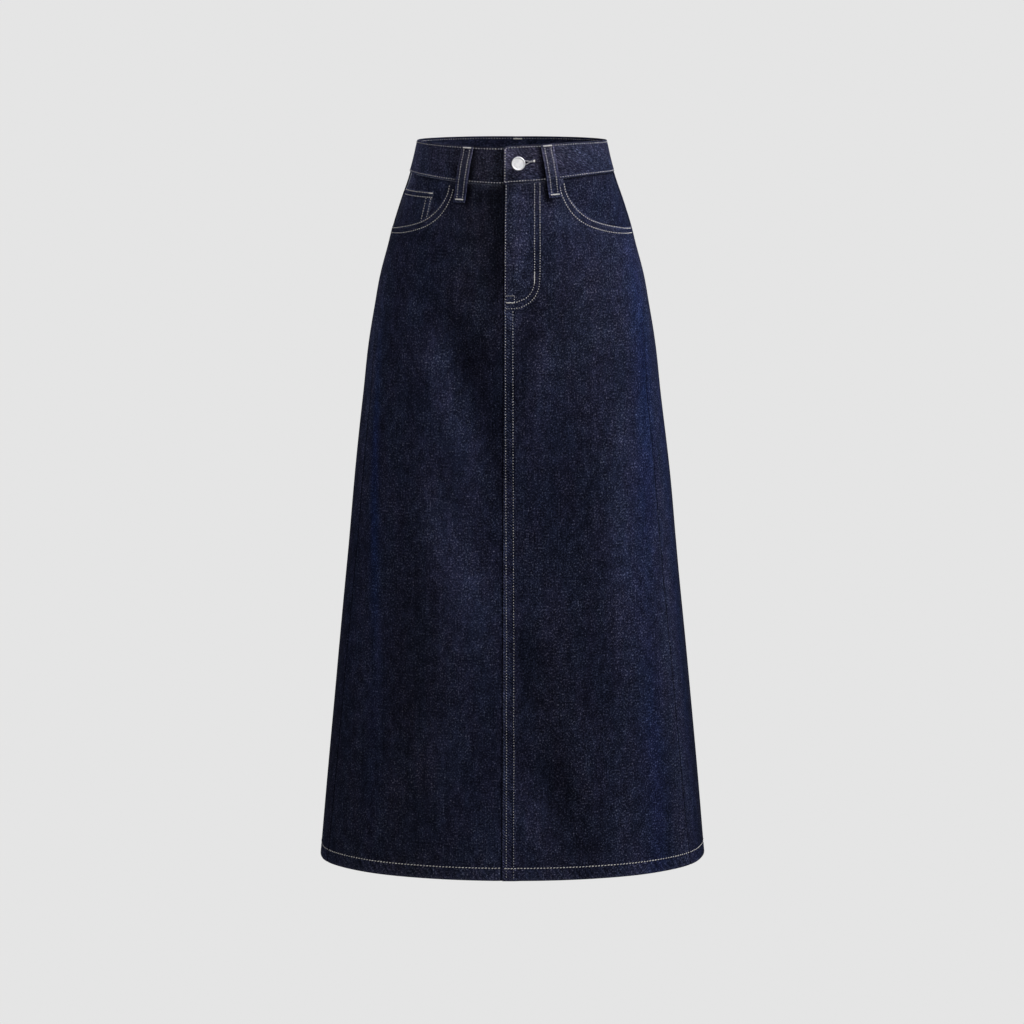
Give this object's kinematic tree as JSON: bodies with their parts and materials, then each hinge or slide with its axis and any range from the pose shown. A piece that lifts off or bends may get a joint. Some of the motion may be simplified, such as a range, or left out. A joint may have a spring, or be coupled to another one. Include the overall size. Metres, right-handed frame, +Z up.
{
  "type": "denim skirt",
  "caption": "Long A-line denim skirt in its worn, hollow shape, with a waistband, front opening, curved pockets, belt loops and a metal button.",
  "frame": {"origin": "centre of the waist opening, level with the top edge of the waistband", "axes": "+Z up, +X towards the wearer's left, the front faces -Y"},
  "size_m": [0.4665, 0.2944, 0.8663],
  "materials": {
    "denim": "dark indigo raw twill, dry and matte",
    "thread": "ecru topstitching thread",
    "button_metal": "plain silvery metal, satin",
    "zip_tape": "dark woven tape"
  },
  "bodies": {
    "root": {"front_left": "denim", "front_right": "denim", "back_left": "denim", "back_right": "denim", "waistband": "denim", "pocket_facing_left": "denim", "pocket_facing_right": "denim", "coin_pocket": "denim", "belt_loop_front_left": "denim", "belt_loop_front_right": "denim", "belt_loop_side_left": "denim", "belt_loop_side_right": "denim", "belt_loop_back": "denim", "button": "button_metal", "zip": "zip_tape"}
  },
  "joints": []
}
